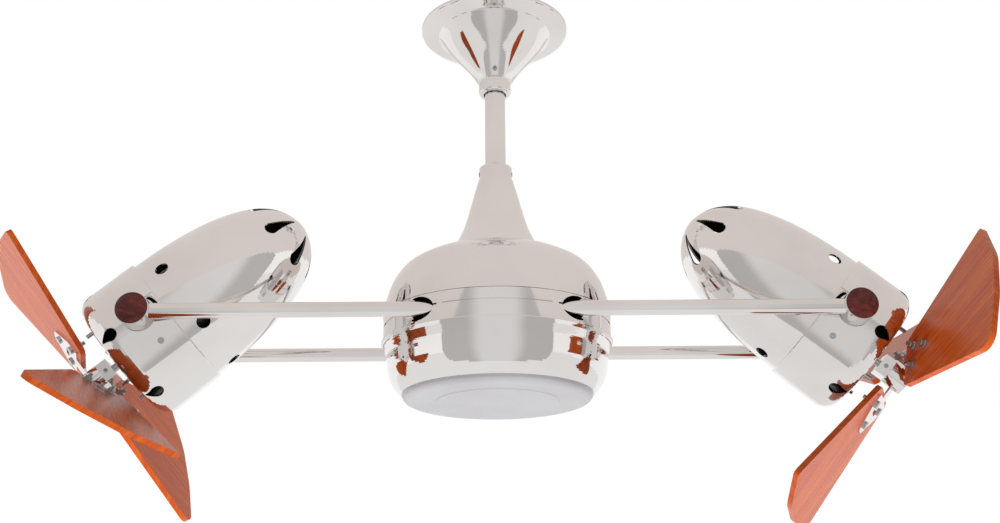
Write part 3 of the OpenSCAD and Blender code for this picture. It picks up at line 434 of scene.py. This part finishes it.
for s in SIDES:
    for sign, end in ((-1, "front"), (1, "rear")):
        place = Vector((PIVOT[s].x, sign * CUP_FRONT, ROD_Z))
        joint_and_shade_ring("cap_line_" + s + "_" + end, CAP_R - CAP_LINE_W / 2, CAP_R + CAP_LINE_W / 2,
                   (place, Vector((0, sign, 0))), "turning_body")

# painted shade: a black ring round the downrod at the canopy's mouth, where the recess is only in
# shadow
mouth = Vector((0, 0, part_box("canopy")[0].z))
joint_and_shade_ring("mouth_painted_shade_ring", MOUTH_R, MOUTH_R + MOUTH_SHADE_W, (mouth, Vector((0, 0, -1))), "canopy")

# thread rings on the front ends of the four motor studs of each head
STUD_R = 2 * MM
STUD_CIRCLE = 44.8 * MM
STUD_END = 54.6 * MM
THREAD_LEN = 6 * MM
THREAD_PITCH = 0.8 * MM
THREAD_H = 0.25 * MM
THREAD_CORE_R = STUD_R * 0.9
THREAD_SIDES = 20
CORNERS = ((1, 1), (1, -1), (-1, -1), (-1, 1))


def thread_outline():
    """Ridges of a thread, one ring for each turn."""
    turns = round(THREAD_LEN / THREAD_PITCH)
    points = [(STUD_R, 0)]
    for i in range(turns):
        points.append((STUD_R + THREAD_H, (i + 0.5) * THREAD_PITCH))
        points.append((STUD_R, (i + 1) * THREAD_PITCH))
    return points + [(THREAD_CORE_R, turns * THREAD_PITCH), (THREAD_CORE_R, 0)]


for s in SIDES:
    back = Vector((0, 1, 0))
    up = AXIS[s].cross(back)
    for i, (a, b) in enumerate(CORNERS):
        across = (back * a + up * b) * STUD_CIRCLE / math.sqrt(2)
        foot = PIVOT[s] + across + AXIS[s] * (STUD_END - THREAD_LEN)
        lathe("thread_%s_%d" % (s, i), thread_outline(), (foot, AXIS[s]), s + "_head",
              STEEL, turns=THREAD_SIDES, smooth=False)

# ---------- studio ----------

FLOOR_DROP = 3.4
FLOOR_HALF = 14
# the floor's own faint light, and its level as the metal mirrors it
FLOOR_GLOW = 0.48
FLOOR_MIRRORED = 0.86
# the grey wall behind the camera
WALL_Y = -2.2
WALL_HALF = 3.3
WALL_FOOT = -3.1
CARD_ROUND = 0.9
WALL_MIDDLE_GREY = srgb(224, 224, 224)
WALL_SIDE_GREY = srgb(190, 189, 188)
# shares of the wall's half width between which its middle grey turns into the side grey
GREY_SHARES = (0.16, 0.4)
# the warm grey room above it
ROOM_FROM = 0.45
ROOM_HALF = 3.3
ROOM_BACK = 3
CEILING_Z = 2.6
WARM_GREY = srgb(226, 219, 215)
# level of the world's light on the fan
WORLD_FILL = 0.27


def stage_plane(name, corners, material, only_mirrored=False):
    """A flat card of the studio; some are seen only in the metal."""
    mesh = bpy.data.meshes.new(name)
    mesh.from_pydata(corners, [], [tuple(range(len(corners)))])
    card = bpy.data.objects.new(name, mesh)
    mesh.materials.append(material)
    bpy.context.collection.objects.link(card)
    if only_mirrored:
        card.visible_camera = False
        card.visible_diffuse = False
        card.visible_shadow = False
        card.visible_transmission = False
    return card


def glow(name, middle_colour, side_colour, half):
    """Light of a studio card as the metal mirrors it, from its middle line to its sides."""
    material = bpy.data.materials.new(name)
    material.use_nodes = True
    tree = material.node_tree
    tree.nodes.clear()
    coords = tree.nodes.new("ShaderNodeTexCoord")
    split = tree.nodes.new("ShaderNodeSeparateXYZ")
    tree.links.new(coords.outputs["Object"], split.inputs[0])
    across = tree.nodes.new("ShaderNodeMath")
    across.operation = "ABSOLUTE"
    tree.links.new(split.outputs["X"], across.inputs[0])
    share = tree.nodes.new("ShaderNodeMapRange")
    share.interpolation_type = "SMOOTHSTEP"
    share.inputs[1].default_value = half * GREY_SHARES[0]
    share.inputs[2].default_value = half * GREY_SHARES[1]
    tree.links.new(across.outputs[0], share.inputs["Value"])
    mix = tree.nodes.new("ShaderNodeMix")
    mix.data_type = "RGBA"
    tree.links.new(share.outputs[0], mix.inputs[0])
    mix.inputs[6].default_value = (*middle_colour, 1)
    mix.inputs[7].default_value = (*side_colour, 1)
    light = tree.nodes.new("ShaderNodeEmission")
    tree.links.new(mix.outputs[2], light.inputs["Color"])
    out = tree.nodes.new("ShaderNodeOutputMaterial")
    tree.links.new(light.outputs[0], out.inputs[0])
    return material


def floor_material():
    """Plain pale floor that keeps the fan's shadow and throws some light up."""
    g = Graph("floor", Roughness=0.8, Emission_Color=(1, 1, 1, 1), Emission_Strength=FLOOR_GLOW)
    g.put("Base Color", g.mix(g.noise(2, 2), srgb(238, 238, 238), srgb(244, 244, 244)))
    light = g.node("Emission", {"Strength": FLOOR_MIRRORED})
    path = g.node("LightPath")
    swap = g.node("MixShader", {
        0: path.outputs["Is Glossy Ray"], 1: g.shader.outputs[0], 2: light.outputs[0]})
    g.tree.links.new(swap.outputs[0], g.tree.nodes["Material Output"].inputs[0])
    return g.material


f, z = FLOOR_HALF, -FLOOR_DROP
stage_plane("floor", [(-f, -f, z), (f, -f, z), (f, f, z), (-f, f, z)], floor_material())


def rounded_wall(half, low, high, radius, steps=8):
    """Outline of a wall with rounded lower corners."""
    points = [(half, high), (-half, high)]
    for side, a0 in ((-1, 180), (1, 270)):
        for k in range(steps + 1):
            a = math.radians(a0 + 90 * k / steps)
            points.append((side * (half - radius) + radius * math.cos(a),
                           low + radius + radius * math.sin(a)))
    return points


def card(name, corners, middle_colour, side_colour):
    """A card that is seen only in the metal."""
    half = max(abs(c[0]) for c in corners)
    light = glow(name, middle_colour, side_colour, half)
    return stage_plane(name, corners, light, only_mirrored=True)


# grey wall behind the camera, lighter in its middle
wall = rounded_wall(WALL_HALF, WALL_FOOT, ROOM_FROM, CARD_ROUND)
card("card_wall", [(x, WALL_Y, h) for x, h in wall], WALL_MIDDLE_GREY, WALL_SIDE_GREY)
# one warm grey all round above it, and over the fan
room = [(-ROOM_HALF, WALL_Y), (ROOM_HALF, WALL_Y), (ROOM_HALF, ROOM_BACK), (-ROOM_HALF, ROOM_BACK)]
for i, start in enumerate(room):
    end = room[(i + 1) % len(room)]
    card("card_room_" + "abcd"[i],
         [(*start, ROOM_FROM), (*end, ROOM_FROM), (*end, CEILING_Z), (*start, CEILING_Z)],
         WARM_GREY, WARM_GREY)
card("card_ceiling", [(*c, CEILING_Z) for c in room], WARM_GREY, WARM_GREY)


def make_world():
    """White for the camera, mirrors and glass, and a lower level for the light on the fan."""
    world = bpy.data.worlds.new("studio")
    bpy.context.scene.world = world
    world.use_nodes = True
    tree = world.node_tree
    back = tree.nodes["Background"]
    back.inputs["Color"].default_value = (1, 1, 1, 1)
    path = tree.nodes.new("ShaderNodeLightPath")
    seen = path.outputs["Is Camera Ray"]
    for ray in ("Is Glossy Ray", "Is Transmission Ray"):
        add = tree.nodes.new("ShaderNodeMath")
        add.operation = "MAXIMUM"
        tree.links.new(seen, add.inputs[0])
        tree.links.new(path.outputs[ray], add.inputs[1])
        seen = add.outputs[0]
    level = tree.nodes.new("ShaderNodeMapRange")
    level.inputs["To Min"].default_value = WORLD_FILL
    level.inputs["To Max"].default_value = 1.0
    tree.links.new(seen, level.inputs["Value"])
    tree.links.new(level.outputs[0], back.inputs["Strength"])


make_world()


def lamp(name, place, size, watts):
    """A soft square lamp that points at the fan's body."""
    data = bpy.data.lights.new(name, "AREA")
    data.size = size
    data.energy = watts
    light = bpy.data.objects.new(name, data)
    light.location = place
    light.rotation_mode = "QUATERNION"
    light.rotation_quaternion = (BODY_MIDDLE - Vector(place)).to_track_quat("-Z", "Y")
    light.visible_glossy = False
    light.visible_camera = False
    bpy.context.collection.objects.link(light)


for sign, name in ((-1, "left"), (1, "right")):
    lamp("lamp_" + name, (sign * 1.95, -1.3, -3.0), size=1.5, watts=50)
lamp("lamp_top", (0.4, -0.6, 2.4), size=1.8, watts=15)

# ---------- camera ----------

# distance from the downrod's line, height, and turn of the camera, fitted to the photo
CAMERA_AWAY = 1.1797
CAMERA_Z = -0.6815
CAMERA_YAW = math.radians(0.533)
CAMERA_PITCH = math.radians(18.918)
CAMERA_ROLL = math.radians(0.534)
PHOTO_W = 1000
FOCAL_PX = 1174.9
CENTRE_PX = 496.4
SENSOR = 36
CLIP_END = 60

camera_data = bpy.data.cameras.new("camera")
camera_data.sensor_width = SENSOR
camera_data.lens = FOCAL_PX / PHOTO_W * SENSOR
camera_data.shift_x = (PHOTO_W / 2 - CENTRE_PX) / PHOTO_W
camera_data.clip_end = CLIP_END
camera = bpy.data.objects.new("camera", camera_data)
camera.location = (
    -CAMERA_AWAY * math.sin(CAMERA_YAW), -CAMERA_AWAY * math.cos(CAMERA_YAW), CAMERA_Z)
ahead = Vector((
    math.sin(CAMERA_YAW) * math.cos(CAMERA_PITCH),
    math.cos(CAMERA_YAW) * math.cos(CAMERA_PITCH),
    math.sin(CAMERA_PITCH)))
camera.rotation_mode = "QUATERNION"
camera.rotation_quaternion = (
    ahead.to_track_quat("-Z", "Y") @ Matrix.Rotation(-CAMERA_ROLL, 3, "Z").to_quaternion())
bpy.context.collection.objects.link(camera)
bpy.context.scene.camera = camera
bpy.context.scene.view_settings.view_transform = "Standard"
